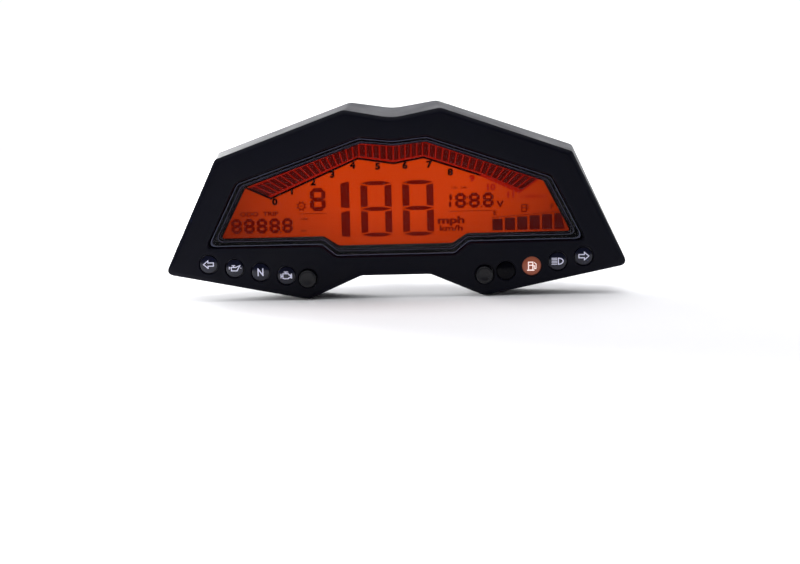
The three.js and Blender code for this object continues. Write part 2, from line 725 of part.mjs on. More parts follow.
function breather() {
  const made = turned(BREATHER.x, BREATHER.z, [
    [0, -BREATHER.stemLength],
    [BREATHER.stem, -BREATHER.stemLength],
    [BREATHER.stem, GAP],
    [BREATHER.radius, GAP],
    [BREATHER.radius, GAP + BREATHER.thickness - BREATHER.edge],
    [BREATHER.radius - BREATHER.edge, GAP + BREATHER.thickness],
    [0, GAP + BREATHER.thickness],
  ]);
  add("breather_cap", made, materials.rubber);
}

frontBezel();
rearHousing();
housingSeal();
shellScrews();
windowLens();
displayMask();
displayStack();
backlightTray();
contactStrips();
mainBoard();
boardParts();
telltales();
lightBoxes();
pushButtons();
mountingStuds();
mainConnector();
breather();

export default cluster;
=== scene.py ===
import json
import math
import bmesh
import bpy
from mathutils import Matrix, Quaternion, Vector


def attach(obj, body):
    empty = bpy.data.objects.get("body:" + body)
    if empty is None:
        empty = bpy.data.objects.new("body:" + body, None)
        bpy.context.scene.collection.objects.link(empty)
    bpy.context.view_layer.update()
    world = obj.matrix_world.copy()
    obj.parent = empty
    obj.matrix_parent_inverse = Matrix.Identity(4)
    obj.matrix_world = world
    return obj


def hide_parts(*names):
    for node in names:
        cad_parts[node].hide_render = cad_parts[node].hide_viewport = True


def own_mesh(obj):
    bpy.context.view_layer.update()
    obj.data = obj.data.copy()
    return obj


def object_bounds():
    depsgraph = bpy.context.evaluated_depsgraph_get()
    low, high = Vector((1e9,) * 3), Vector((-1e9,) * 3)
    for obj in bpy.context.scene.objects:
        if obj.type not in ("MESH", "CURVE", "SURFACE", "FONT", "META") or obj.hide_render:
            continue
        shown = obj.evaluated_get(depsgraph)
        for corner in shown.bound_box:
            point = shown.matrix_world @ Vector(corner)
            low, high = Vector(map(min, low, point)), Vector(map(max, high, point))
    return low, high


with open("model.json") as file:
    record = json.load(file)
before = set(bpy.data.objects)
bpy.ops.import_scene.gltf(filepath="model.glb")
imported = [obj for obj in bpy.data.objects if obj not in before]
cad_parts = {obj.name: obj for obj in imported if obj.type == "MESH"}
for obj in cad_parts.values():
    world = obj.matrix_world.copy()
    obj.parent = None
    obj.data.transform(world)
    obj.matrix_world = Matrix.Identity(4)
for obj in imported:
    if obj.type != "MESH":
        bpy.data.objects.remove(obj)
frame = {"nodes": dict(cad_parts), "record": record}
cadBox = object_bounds()
mm = 0.001
weldDistance = 2e-6
print("frame loaded:", len(frame["nodes"]), "CAD nodes")


# Outlines are lists of (x, z, corner radius) in millimetres, right half from the top down.
def mirrored(half):
    right = [c for c in half if c[0] > 0]
    left = [(-x, z, r) for x, z, r in reversed(right)]
    return ([c for c in half if c[0] == 0] + right + left)[::-1]


def inset(corners, distance):
    moved = []
    for i, (x, z, radius) in enumerate(corners):
        before = Vector(corners[i - 1][:2])
        after = Vector(corners[(i + 1) % len(corners)][:2])
        a = (Vector((x, z)) - before).normalized()
        b = (after - Vector((x, z))).normalized()
        normal = Vector((-a.y - b.y, a.x + b.x))
        reach = distance / (normal.length_squared / 2)
        moved.append((x + normal.x * reach, z + normal.y * reach, radius))
    return moved


def rounded(corners, steps=9):
    points = []
    for i, (x, z, radius) in enumerate(corners):
        here = Vector((x, z))
        before = Vector(corners[i - 1][:2]) - here
        after = Vector(corners[(i + 1) % len(corners)][:2]) - here
        cut = min(radius / math.tan(before.angle(after) / 2), 0.45 * min(before.length, after.length))
        start = here + before.normalized() * cut
        end = here + after.normalized() * cut
        for k in range(steps + 1):
            t = k / steps
            points.append(start * (1 - t) ** 2 + here * 2 * t * (1 - t) + end * t * t)
    return points


def circle(x, z, radius, steps=48):
    turns = [math.tau * k / steps for k in range(steps)]
    return [Vector((x + radius * math.cos(a), z + radius * math.sin(a))) for a in turns]


def ring(bm, points, depth):
    at = depth if callable(depth) else (lambda z: depth)
    verts = [bm.verts.new((p[0] * mm, at(p[1]) * mm, p[1] * mm)) for p in points]
    return [bm.edges.new((verts[i - 1], verts[i])) for i in range(len(verts))]


# Joins rings of equal point counts edge to edge.
def skin(bm, rings):
    for near, far in zip(rings, rings[1:]):
        for a, b in zip(near, far):
            bm.faces.new((a.verts[0], a.verts[1], b.verts[1], b.verts[0]))


def fill(bm, *rings):
    edges = [e for r in rings for e in r]
    bmesh.ops.triangle_fill(bm, use_beauty=True, use_dissolve=False, edges=edges)


def turned(bm, x, z, profile, sides=64):
    verts = [bm.verts.new(((x + r) * mm, y * mm, z * mm)) for r, y in profile]
    edges = [bm.edges.new(pair) for pair in zip(verts, verts[1:])]
    bmesh.ops.spin(
        bm, geom=verts + edges, cent=(x * mm, 0, z * mm), axis=(0, 1, 0), dvec=(0, 0, 0),
        angle=math.tau, steps=sides, use_merge=True, use_duplicate=False,
    )


def makePiece(name, bm, finish, body="cluster", stands=(), sharp=32, flat=False):
    bmesh.ops.remove_doubles(bm, verts=bm.verts, dist=weldDistance)
    bmesh.ops.recalc_face_normals(bm, faces=bm.faces)
    if flat:
        bmesh.ops.reverse_faces(bm, faces=[f for f in bm.faces if f.normal.y > 0])
    mesh = bpy.data.meshes.new(name)
    bm.to_mesh(mesh)
    bm.free()
    mesh.materials.append(finish)
    piece = bpy.data.objects.new(name, mesh)
    bpy.context.scene.collection.objects.link(piece)
    if not flat:
        mesh.shade_smooth()
        mesh.set_sharp_from_angle(angle=math.radians(sharp))
        piece.modifiers.new("evenShading", "WEIGHTED_NORMAL").keep_sharp = True
    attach(piece, body)
    for node in stands:
        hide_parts(node)
    return piece


# Materials
def plainFinish(name, color, roughness, **values):
    material = bpy.data.materials.new(name)
    material.use_nodes = True
    shader = material.node_tree.nodes["Principled BSDF"]
    shader.inputs["Base Color"].default_value = (*color, 1)
    shader.inputs["Roughness"].default_value = roughness
    for socket, value in values.items():
        shader.inputs[socket.replace("_", " ")].default_value = value
    return material


# Grain, slight colour patches and slight gloss patches, all from noise on Object coordinates.
grain = {"detail": 4, "strength": 0.6, "patchDetail": 5, "low": 0.3, "high": 0.7, "leastRoughness": 0.02}


def addGrain(material, grainScale, grainDepth, colorShift, roughShift, patchScale=60, stretch=(1, 1, 1)):
    tree = material.node_tree
    shader = tree.nodes["Principled BSDF"]
    coords = tree.nodes.new("ShaderNodeTexCoord")
    mapping = tree.nodes.new("ShaderNodeMapping")
    mapping.inputs["Scale"].default_value = stretch
    fine = tree.nodes.new("ShaderNodeTexNoise")
    fine.inputs["Scale"].default_value = grainScale
    fine.inputs["Detail"].default_value = grain["detail"]
    patches = tree.nodes.new("ShaderNodeTexNoise")
    patches.inputs["Scale"].default_value = patchScale
    patches.inputs["Detail"].default_value = grain["patchDetail"]
    bump = tree.nodes.new("ShaderNodeBump")
    bump.inputs["Strength"].default_value = grain["strength"]
    bump.inputs["Distance"].default_value = grainDepth * mm
    tint = tree.nodes.new("ShaderNodeValToRGB")
    base = list(shader.inputs["Base Color"].default_value)
    tint.color_ramp.elements[0].position = grain["low"]
    tint.color_ramp.elements[1].position = grain["high"]
    tint.color_ramp.elements[0].color = [c * (1 - colorShift) for c in base[:3]] + [1]
    tint.color_ramp.elements[1].color = [min(1, c * (1 + colorShift)) for c in base[:3]] + [1]
    gloss = tree.nodes.new("ShaderNodeMapRange")
    rough = shader.inputs["Roughness"].default_value
    gloss.inputs["From Min"].default_value = grain["low"]
    gloss.inputs["From Max"].default_value = grain["high"]
    gloss.inputs["To Min"].default_value = max(grain["leastRoughness"], rough - roughShift)
    gloss.inputs["To Max"].default_value = min(1, rough + roughShift)
    link = tree.links.new
    link(coords.outputs["Object"], mapping.inputs["Vector"])
    link(mapping.outputs["Vector"], fine.inputs["Vector"])
    link(mapping.outputs["Vector"], patches.inputs["Vector"])
    link(fine.outputs["Fac"], bump.inputs["Height"])
    link(bump.outputs["Normal"], shader.inputs["Normal"])
    link(patches.outputs["Fac"], tint.inputs["Fac"])
    link(tint.outputs["Color"], shader.inputs["Base Color"])
    link(patches.outputs["Fac"], gloss.inputs["Value"])
    link(gloss.outputs["Result"], shader.inputs["Roughness"])
    return material


shellPlastic = addGrain(
    plainFinish("shellPlastic", (0.0024, 0.0027, 0.0075), 0.36, Specular_IOR_Level=0.09), 2600, 0.03, 0.12, 0.06)
maskPlastic = addGrain(
    plainFinish("maskPlastic", (0.0018, 0.002, 0.005), 0.18, Specular_IOR_Level=0.12), 900, 0.0003, 0.1, 0.01)
# Trim beads get a much lighter blue-grey than the bezel: a painted highlight for the thin bright lines along the
# window's edges
trimPaintedHighlight = addGrain(
    plainFinish("trimPaintedHighlight", (0.05, 0.056, 0.1), 0.24, Specular_IOR_Level=0.5), 900, 0.0006, 0.1, 0.02)
buttonPlastic = addGrain(
    plainFinish("buttonPlastic", (0.0045, 0.0045, 0.0075), 0.3, Specular_IOR_Level=0.3), 1800, 0.012, 0.12, 0.05)
softRubber = addGrain(plainFinish("softRubber", (0.018, 0.018, 0.02), 0.72), 1500, 0.03, 0.2, 0.1)
zincSteel = addGrain(
    plainFinish("zincSteel", (0.58, 0.57, 0.54), 0.3, Metallic=1.0), 900, 0.008, 0.1, 0.1, patchScale=300)
whitePlastic = addGrain(plainFinish("whitePlastic", (0.78, 0.78, 0.75), 0.5), 700, 0.01, 0.04, 0.06)
greenBoard = addGrain(plainFinish("greenBoard", (0.03, 0.16, 0.07), 0.38), 1200, 0.015, 0.25, 0.08, patchScale=160)
chipPlastic = addGrain(plainFinish("chipPlastic", (0.022, 0.022, 0.024), 0.5), 1500, 0.01, 0.15, 0.08)
canMetal = addGrain(
    plainFinish("canMetal", (0.7, 0.71, 0.74), 0.28, Metallic=1.0), 500, 0.004, 0.06, 0.06, stretch=(1, 0.1, 1))
pinMetal = addGrain(plainFinish("pinMetal", (0.72, 0.55, 0.25), 0.28, Metallic=1.0), 800, 0.004, 0.1, 0.08)
guidePlastic = addGrain(plainFinish("guidePlastic", (0.8, 0.84, 0.86), 0.12), 500, 0.003, 0.03, 0.04)
smokedLens = addGrain(
    plainFinish("smokedLens", (0.007, 0.008, 0.022), 0.14, Specular_IOR_Level=0.4), 500, 0.003, 0.1, 0.04)
# Pictograms on the unlit lenses: a pale print colour plus a faint emission, a painted glow though their lamps are off
iconPrintPaintedGlow = addGrain(
    plainFinish("iconPrintPaintedGlow", (0.62, 0.62, 0.76), 0.4, Emission_Color=(0.62, 0.62, 0.8, 1), Emission_Strength=0.28),
    900, 0.002, 0.08, 0.05)
unlitLens = addGrain(
    plainFinish("unlitLens", (0.002, 0.002, 0.004), 0.2, Specular_IOR_Level=0.08), 500, 0.003, 0.1, 0.04)
amberLens = addGrain(
    plainFinish(
        "amberLens", (0.16, 0.045, 0.025), 0.15, Emission_Color=(0.42, 0.12, 0.07, 1), Emission_Strength=0.34,
        Specular_IOR_Level=0.3),
    500, 0.003, 0.15, 0.04)
litPrint = addGrain(
    plainFinish("litPrint", (0.8, 0.7, 0.7), 0.4, Emission_Color=(1.0, 0.72, 0.66, 1), Emission_Strength=0.7),
    900, 0.002, 0.06, 0.05)
windowPlastic = addGrain(
    plainFinish("windowPlastic", (0.01, 0.01, 0.013), 0.07, Alpha=0.05), 400, 0.0004, 0.1, 0.02)


# The lit display: an emission that is brightest a little above the middle and falls off to the ends.
backlight = {
    "location": (-0.02, 0.0, -0.18),
    "scale": (10.5, 0.0, 21),
    "cloudScale": 40,
    "cloudShare": 0.12,
    "fullAt": 0.75,
}


def displayFinish(name, middle, edge, strength):
    material = plainFinish(name, (0, 0, 0), 0.5, Emission_Strength=strength, Specular_IOR_Level=0.03)
    tree = material.node_tree
    shader = tree.nodes["Principled BSDF"]
    coords = tree.nodes.new("ShaderNodeTexCoord")
    mapping = tree.nodes.new("ShaderNodeMapping")
    mapping.inputs["Location"].default_value = backlight["location"]
    mapping.inputs["Scale"].default_value = backlight["scale"]
    glow = tree.nodes.new("ShaderNodeTexGradient")
    glow.gradient_type = "SPHERICAL"
    cloud = tree.nodes.new("ShaderNodeTexNoise")
    cloud.inputs["Scale"].default_value = backlight["cloudScale"]
    blend = tree.nodes.new("ShaderNodeMath")
    blend.operation = "MULTIPLY_ADD"
    blend.inputs[1].default_value = backlight["cloudShare"]
    ramp = tree.nodes.new("ShaderNodeValToRGB")
    ramp.color_ramp.elements[0].position = 0.0
    ramp.color_ramp.elements[0].color = (*edge, 1)
    ramp.color_ramp.elements[1].position = backlight["fullAt"]
    ramp.color_ramp.elements[1].color = (*middle, 1)
    link = tree.links.new
    link(coords.outputs["Object"], mapping.inputs["Vector"])
    link(coords.outputs["Object"], cloud.inputs["Vector"])
    link(mapping.outputs["Vector"], glow.inputs["Vector"])
    link(cloud.outputs["Fac"], blend.inputs[0])
    link(glow.outputs["Fac"], blend.inputs[2])
    link(blend.outputs["Value"], ramp.inputs["Fac"])
    link(ramp.outputs["Color"], shader.inputs["Emission Color"])
    return material


orangeGlow = displayFinish("orangeGlow", (0.47, 0.034, 0.001), (0.1, 0.0055, 0.0007), 1.2)
redGlow = displayFinish("redGlow", (0.26, 0.006, 0.002), (0.13, 0.003, 0.001), 1.25)
darkSegment = displayFinish("darkSegment", (0.13, 0.003, 0.0005), (0.06, 0.001, 0.0005), 0.95)
barSegment = displayFinish("barSegment", (0.07, 0.003, 0.002), (0.05, 0.002, 0.0015), 0.9)
blackSegment = displayFinish("blackSegment", (0.014, 0.002, 0.002), (0.01, 0.002, 0.002), 0.3)
print("materials ready")

# Front bezel. Ring lists hold (inset or added radius, depth), the depth behind the face or, in sideRings, absolute.
bezel = {
    "face": [
        (0, 39.6, 26), (22.0, 43.8, 6), (81.5, 22.6, 2.5), (106.8, -30.0, 3.2), (40.6, -43.2, 3), (16.0, -32.6, 5)],
    "back": [
        (0, 43.4, 26), (20.4, 46.6, 6), (83.5, 24.4, 2.5), (108.4, -30.2, 3.2), (41.0, -43.4, 3), (16.0, -32.8, 5)],
    "window": [
        (0, 29.6, 24), (15.4, 31.3, 5), (72.2, 11.7, 4), (87.4, -18.3, 2.6), (34.0, -18.4, 3), (27.4, -23.7, 3)],
    "faceDepth": -51.0,
    "tilt": math.tan(math.radians(3)),
    "seat": -46.5,
    "flangeFront": -46.2,
    "wall": 2.6,
    "faceRings": [(2.3, 0), (1.8, 0.1), (0.25, 1.05), (0, 1.65)],
    "sideRings": [(0.1, -26.2), (0.55, -25.9), (0.55, -25.5), (0, -25.2), (0, -24.6), (2.6, -24.6)],
    "windowRings": [(-0.5, 0), (-0.15, 0.2), (0, 0.6)],
    "holeRings": [(0.55, 0), (0.18, 0.12), (0, 0.5)],
}
lampSpots = [(86.3, -25.7), (74.4, -27.803), (62.5, -29.804), (50.6, -31.703)]
buttonSpot = (40.7, -33.206)
lampHole = 4.4
buttonHole = 4.3


def faceAt(z, push=0.0):
    return bezel["faceDepth"] - z * bezel["tilt"] + push


def pushed(amount):
    return lambda z: faceAt(z, amount)


def ringsRound(bm, outline, pairs, depthFor=lambda depth: depth):
    return [ring(bm, rounded(inset(outline, distance)), depthFor(depth)) for distance, depth in pairs]


faceOutline = mirrored(bezel["face"])
backOutline = mirrored(bezel["back"])
windowOutline = mirrored(bezel["window"])
bm = bmesh.new()
shell = ringsRound(bm, faceOutline, bezel["faceRings"], pushed)
shell += ringsRound(bm, backOutline, bezel["sideRings"])
shell += ringsRound(bm, faceOutline, [(bezel["wall"], bezel["seat"])])
skin(bm, shell)
opening = ringsRound(bm, windowOutline, bezel["windowRings"], pushed)
opening += ringsRound(bm, windowOutline, [(0, bezel["seat"])])
skin(bm, opening)
fronts = [opening[0]]
backs = [opening[-1]]
for sideSign in (1, -1):
    for (x, z), radius in [(spot, lampHole) for spot in lampSpots] + [(buttonSpot, buttonHole)]:
        hole = [ring(bm, circle(x * sideSign, z, radius + more), pushed(push)) for more, push in bezel["holeRings"]]
        hole.append(ring(bm, circle(x * sideSign, z, radius), bezel["seat"]))
        skin(bm, hole)
        fronts.append(hole[0])
        backs.append(hole[-1])
fill(bm, shell[0], *fronts)
fill(bm, shell[-1], *backs)
makePiece("frontBezel", bm, shellPlastic, stands=["front_bezel"], sharp=40)
print("front bezel built")

# Window lens, with a small rounded edge
window = {"rings": [(0.65, -48.6), (0.3, -48.25), (0.3, -44.2)]}
bm = bmesh.new()
rings = ringsRound(bm, windowOutline, window["rings"])
skin(bm, rings)
fill(bm, rings[0])
fill(bm, rings[-1])
makePiece("windowLens", bm, windowPlastic, stands=["window_lens"])

# The stepped mask behind the window: rings round the window's outline, then round its own opening
mask = {
    "opening": [
        (0, 26.3, 24), (14.9, 27.9, 5), (68.8, 8.8, 1.5), (80.8, -14.6, 0.8), (33.2, -14.6, 3), (26.4, -19.0, 2.5)],
    "stepRings": [(-1.0, -40.9), (-1.0, -43.9), (2.2, -43.9), (2.55, -43.6), (2.7, -42.6), (3.1, -42.1)],
    "openingRings": [(-0.5, -42.1), (0, -41.7), (0, -40.9)],
}
displayOutline = mirrored(mask["opening"])
bm = bmesh.new()
rings = ringsRound(bm, windowOutline, mask["stepRings"])
rings += ringsRound(bm, displayOutline, mask["openingRings"])
skin(bm, rings + rings[:1])
makePiece("displayMask", bm, maskPlastic, stands=["display_mask"], sharp=25)


# A rounded bead that follows an outline: rings about its middle line.
def bead(bm, outline, offset, depth, radius, sides=6):
    rings = []
    for k in range(sides):
        turn = math.tau * k / sides
        line = rounded(inset(outline, offset + radius * math.cos(turn)))
        rings.append(ring(bm, line, depth + radius * math.sin(turn)))
    skin(bm, rings + rings[:1])


# Thin beads at the window's edge and the mask's step, in the light trim colour: painted highlight lines
trim = {"outer": (0.85, -48.75, 0.24), "inner": (2.35, -43.95, 0.2), "plate": (2.9, -42.2, 0.14)}
bm = bmesh.new()
for offset, depth, radius in trim.values():
    bead(bm, windowOutline, offset, depth, radius)
makePiece("windowTrimPaintedHighlight", bm, trimPaintedHighlight, sharp=60)
print("window and mask built")

# Display panel and everything drawn on it
panel = {"front": -40.6, "thickness": 1.1, "margin": 2.4, "layer": 0.02, "spread": 1.0149, "drop": 1.3}
bm = bmesh.new()
rings = ringsRound(bm, displayOutline, [
    (-panel["margin"], panel["front"]), (-panel["margin"], panel["front"] + panel["thickness"]),
])
skin(bm, rings)
fill(bm, rings[0])
fill(bm, rings[1])
makePiece("displayPanel", bm, orangeGlow, stands=["lcd_front_glass"])


def spot(x, z, layer):
    depth = panel["front"] - panel["layer"] * layer
    return Vector((x * panel["spread"], depth, z * panel["spread"] - panel["drop"])) * mm


def patch(bm, points, layer=1):
    bmesh.ops.contextual_create(bm, geom=[bm.verts.new(spot(x, z, layer)) for x, z in points])


# A display segment from a to b with pointed ends.
def segment(bm, a, b, thickness, taper):
    a, b = Vector(a), Vector(b)
    along = (b - a).normalized()
    across = Vector((-along.y, along.x)) * thickness / 2
    inA, inB = a + along * taper, b - along * taper
    patch(bm, [a, inA + across, inB + across, b, inB - across, inA - across])


# Quads of the given width along a line of points, square at the ends.
def lineQuads(points, width, closed=False):
    quads = []
    for a, b in zip(points, points[1:] + points[:1] if closed else points[1:]):
        a, b = Vector(a), Vector(b)
        forward = (b - a).normalized() * width / 2
        across = Vector((-forward.y, forward.x))
        quads.append([a - forward + across, b + forward + across, b + forward - across, a - forward - across])
    return quads


def polyline(bm, points, width, layer=1, closed=False):
    for quad in lineQuads(points, width, closed):
        patch(bm, quad, layer)


digitShape = {"gap": 0.06, "taper": 0.3}


def digit(bm, x, z, width, height, thick):
    half = thick / 2
    gap = thick * digitShape["gap"]
    taper = thick * digitShape["taper"]
    top, mid, low = z + height - half, z + height / 2, z + half
    left, right = x + half, x + width - half
    for level in (top, mid, low):
        segment(bm, (left + gap, level), (right - gap, level), thick, taper)
    for upright in (left, right):
        segment(bm, (upright, mid + gap), (upright, top - gap), thick, taper)
        segment(bm, (upright, low + gap), (upright, mid - gap), thick, taper)


letter = {"sizeForHeight": 1.38, "resolution": 4}


def lettering(bm, text, x, z, height, weight, squeeze):
    curve = bpy.data.curves.new("letters", "FONT")
    curve.body = text
    curve.size = height * letter["sizeForHeight"]
    curve.align_x = "CENTER"
    curve.align_y = "CENTER"
    curve.offset = weight
    curve.resolution_u = letter["resolution"]
    holder = bpy.data.objects.new("letters", curve)
    bpy.context.scene.collection.objects.link(holder)
    bpy.context.view_layer.update()
    flat = bpy.data.meshes.new_from_object(holder.evaluated_get(bpy.context.evaluated_depsgraph_get()))
    bpy.data.objects.remove(holder)
    for vert in flat.vertices:
        vert.co = spot(x + vert.co.x * squeeze, z + vert.co.y, 1)
    bm.from_mesh(flat)
    bpy.data.meshes.remove(flat)


# Tachometer band: outer and inner lines over revolutions in thousands
tach = {
    "outer": [(0, -67.5, 9.8), (4.2, -16.3, 28.9), (5.5, 0, 27.6), (6.8, 14, 29.2), (11, 66, 11)],
    "inner": [(0, -56.5, 4.7), (4.2, -16.2, 22), (5.5, 0, 19.4), (6.8, 13.7, 21.8), (9, 39, 13.2), (11, 56.8, 4.8)],
    "thousands": 11,
    "barsPerThousand": 4,
    "barGap": 0.1,
    "barInset": {"inner": 0.17, "outer": 0.08},
    "blackStops": [0, 4.2, 4.85, 5.5, 6.15, 6.8, 9],
    "redFrom": 9,
    "blackWidth": 0.95,
    "redWidth": 0.8,
    "figures": [(-54.8, 3), (-46.8, 7.7), (-37, 11.6), (-28.1, 14.9), (-18.7, 18.8), (-7.3, 18.1), (5.1, 18.2),
                (16.1, 18.4), (25.7, 14.7), (35.5, 11.5), (43.8, 7.4), (53, 3.6)],
    "figureStyle": (2.9, 0.24, 1.15),
    "unit": ("x1000r/min", 63.4, 2.9, 1.5, 0.07, 1.3),
}


def along(line, value):
    for (u0, x0, z0), (u1, x1, z1) in zip(line, line[1:]):
        if value <= u1:
            t = (value - u0) / (u1 - u0)
            return Vector((x0 + (x1 - x0) * t, z0 + (z1 - z0) * t))
    return Vector(line[-1][1:])


count = tach["thousands"] * tach["barsPerThousand"]
stops = [tach["thousands"] * i / count for i in range(count + 1)]
band = bmesh.new()
bars = bmesh.new()
for lowStop, highStop in zip(stops, stops[1:]):
    shrink = (highStop - lowStop) * tach["barGap"]
    patch(band, [along(tach["inner"], lowStop), along(tach["inner"], highStop),
                 along(tach["outer"], highStop), along(tach["outer"], lowStop)], 1)
    corners = []
    for line, other, value in (("inner", "outer", lowStop + shrink), ("inner", "outer", highStop - shrink),
                               ("outer", "inner", highStop - shrink), ("outer", "inner", lowStop + shrink)):
        here, there = along(tach[line], value), along(tach[other], value)
        corners.append(here.lerp(there, tach["barInset"][line]))
    patch(bars, corners, 2)
makePiece("tachBand", band, redGlow, flat=True)
makePiece("tachBars", bars, barSegment, flat=True)
lines = bmesh.new()
redLines = bmesh.new()
lastStop = tach["thousands"]
blackPath = [along(tach["outer"], 0)] + [along(tach["inner"], s) for s in tach["blackStops"]]
redPath = [along(tach["inner"], s) for s in (tach["redFrom"], lastStop)] + [along(tach["outer"], lastStop)]
polyline(lines, blackPath, tach["blackWidth"], 3)
polyline(redLines, redPath, tach["redWidth"], 3)
for value, (x, z) in enumerate(tach["figures"]):
    target = lines if value < tach["redFrom"] else redLines
    lettering(target, str(value), x, z, *tach["figureStyle"])
lettering(redLines, *tach["unit"])
makePiece("tachLines", lines, blackSegment, flat=True)
makePiece("tachRedLines", redLines, redGlow, flat=True)
print("tachometer drawn")

# Speed: a narrow one and two eights
big = {
    "eights": [-16.0, 3.1],
    "low": -13.9,
    "width": 15.2,
    "height": 25.4,
    "upright": 3.2,
    "margin": 0.5,
    "bar": 1.9,
    "barTaper": 4.2,
    "barInset": 0.9,
    "endGap": 1.6,
    "middleGap": 0.7,
    "slant": 0.6,
    "oneHalves": [(-13.9, -1.8), (-0.6, 11.5)],
    "one": (-24.6, -21.9, -20.6),
    "oneSlants": (0.5, 0.9),
}
speed = bmesh.new()
low, high = big["low"], big["low"] + big["height"]
middle = low + big["height"] / 2
halves = ((low + big["endGap"], middle - big["middleGap"]), (middle + big["middleGap"], high - big["endGap"]))
for x in big["eights"]:
    start, end = x + big["margin"], x + big["width"] - big["margin"]
    for level in (low + big["barInset"], middle, high - big["barInset"]):
        segment(speed, (start, level), (end, level), big["bar"], big["barTaper"])
    for outerX, innerX in ((start, start + big["upright"]), (end, end - big["upright"])):
        for bottom, top in halves:
            patch(speed, [
                (outerX, bottom), (innerX, bottom + big["slant"]), (innerX, top - big["slant"]), (outerX, top)])
outerX, bevelX, innerX = big["one"]
for bottom, top in big["oneHalves"]:
    patch(speed, [
        (outerX, bottom + big["oneSlants"][0]), (innerX, bottom), (innerX, top), (bevelX, top),
        (outerX, top - big["oneSlants"][1])])
makePiece("speedDigits", speed, darkSegment, flat=True)

# Distance, gear, clock and fuel. Digit rows are (x, z, width, height, thickness, pitch, count), labels are
# (text, x, z, height, weight, squeeze), and lines are (points, width).
readout = {
    "digits": [
        (-75.2, -11.3, 4.9, 6.9, 1.5, 5.85, 5), (-38.7, -1.6, 7.2, 10.6, 1.95, 0, 1),
        (27.6, -1.7, 5.0, 6.9, 1.5, 6.3, 3)],
    "halfOnes": [((25.3, -1.4), (25.3, 1.5)), ((25.6, 1.8), (25.6, 4.9))],
    "halfOneSize": (1.2, 0.5),
    "dots": [(-52.55, -10.9), (33.2, 3.2), (33.2, 0.3), (39.6, -1.1)],
    "dotHalf": (0.35, 0.4),
    "labels": [
        ("ODO  TRIP", -62.2, -2.4, 2.0, 0.1, 1.3), ("mile", -41.6, -5.0, 1.2, 0.04, 1.3),
        ("km", -41.9, -10.4, 1.2, 0.04, 1.3), ("mph", 25.6, -7.2, 3.2, 0.2, 1.6),
        ("km/h", 25.6, -10.9, 2.6, 0.12, 1.5), ("V", 48.1, -0.4, 2.8, 0.2, 1.2),
        ("12h  24h", 29.5, 7.6, 1.3, 0.03, 1.2), ("E", 45.6, -4.4, 2.2, 0.12, 1.0),
        ("F", 71.6, -2.0, 2.4, 0.12, 1.0)],
    "lines": [
        ([(-43.8, -2.7), (-31.0, -2.7)], 0.34), ([(24.6, -3.1), (44.5, -3.1)], 0.32),
        ([(44.0, -6.4), (61.5, -5.2)], 0.32), ([(62.5, -5.1), (75.0, -4.1)], 0.32)],
    "cog": {"spot": (-42.7, 0.9), "radius": 1.5, "tip": 2.2, "teeth": 8, "tooth": 0.55, "line": 0.42, "hub": 0.6},
    "pump": [
        ([(57.9, -4.0), (57.9, -0.8), (60.0, -0.8), (60.0, -4.0)], 0.5, True),
        ([(57.9, -2.2), (60.0, -2.2)], 0.45, False),
        ([(60.0, -2.8), (60.7, -2.8), (60.8, -1.4), (60.3, -0.8)], 0.4, False)],
}
small = bmesh.new()
for x, z, width, height, thick, pitch, count in readout["digits"]:
    for i in range(count):
        digit(small, x + i * pitch, z, width, height, thick)
for a, b in readout["halfOnes"]:
    segment(small, a, b, *readout["halfOneSize"])
halfX, halfZ = readout["dotHalf"]
for x, z in readout["dots"]:
    patch(small, [(x - halfX, z - halfZ), (x + halfX, z - halfZ), (x + halfX, z + halfZ), (x - halfX, z + halfZ)])
for label in readout["labels"]:
    lettering(small, *label)
for points, width in readout["lines"]:
    polyline(small, points, width)
for points, width, closed in readout["pump"]:
    polyline(small, points, width, closed=closed)
cog = readout["cog"]
x, z = cog["spot"]
polyline(small, circle(x, z, cog["radius"], 2 * cog["teeth"]), cog["line"], closed=True)
for k in range(cog["teeth"]):
    turn = math.tau * (k + 0.5) / cog["teeth"]
    out = Vector((math.cos(turn), math.sin(turn)))
    polyline(small, [Vector((x, z)) + out * reach for reach in (cog["radius"], cog["tip"])], cog["tooth"])
polyline(small, [(x - cog["hub"], z), (x + cog["hub"], z)], cog["line"])

# Fuel bars, each a little taller than the one before, the last with a slanted side
fuelGauge = {
    "bars": 6,
    "left": 44.4,
    "pitch": 5.65,
    "width": 4.7,
    "low": -12.3,
    "top": -7.0,
    "rise": 0.42,
    "slant": 1.6,
}
fuel = bmesh.new()
for i in range(fuelGauge["bars"]):
    left = fuelGauge["left"] + i * fuelGauge["pitch"]
    right = left + fuelGauge["width"]
    top = fuelGauge["top"] + i * fuelGauge["rise"]
    slant = fuelGauge["slant"] if i == fuelGauge["bars"] - 1 else 0.0
    patch(fuel, [(left, fuelGauge["low"]), (right, fuelGauge["low"]), (right - slant, top), (left, top)])
makePiece("fuelBars", fuel, barSegment, flat=True)
makePiece("smallDigits", small, darkSegment, flat=True)
print("display drawn")

# Telltale lenses: domed discs in their holes, each with its pictogram just on the surface
lamp = {
    "radius": 4.1,
    "dome": 0.5,
    "recess": 0.7,
    "rim": [(0.1, 0.03), (0, 0.2)],
    "flange": 0.4,
    "flangeThickness": 1.0,
    "printLift": 0.05,
    "longEdge": 0.9,
}


def domeDepth(x, z, centre):
    share = min(1.0, (Vector((x, z)) - Vector(centre)).length_squared / lamp["radius"] ** 2)
    return faceAt(centre[1]) + lamp["recess"] - lamp["dome"] * (1 - share)


def makeLens(name, node, centre, finish):
    x, z = centre
    reach = lamp["radius"]
    flange = reach + lamp["flange"]
    front = bezel["flangeFront"]
    back = front + lamp["flangeThickness"]
    profile = [(reach * k / 8, domeDepth(x + reach * k / 8, z, centre)) for k in range(8)]
    for less, drop in lamp["rim"]:
        profile.append((reach - less, domeDepth(x + reach - less, z, centre) + drop))
    profile += [(reach, front), (flange, front), (flange, back), (0, back)]
    bm = bmesh.new()
    turned(bm, x, z, profile, 48)
    makePiece(name, bm, finish, stands=[node], sharp=40)


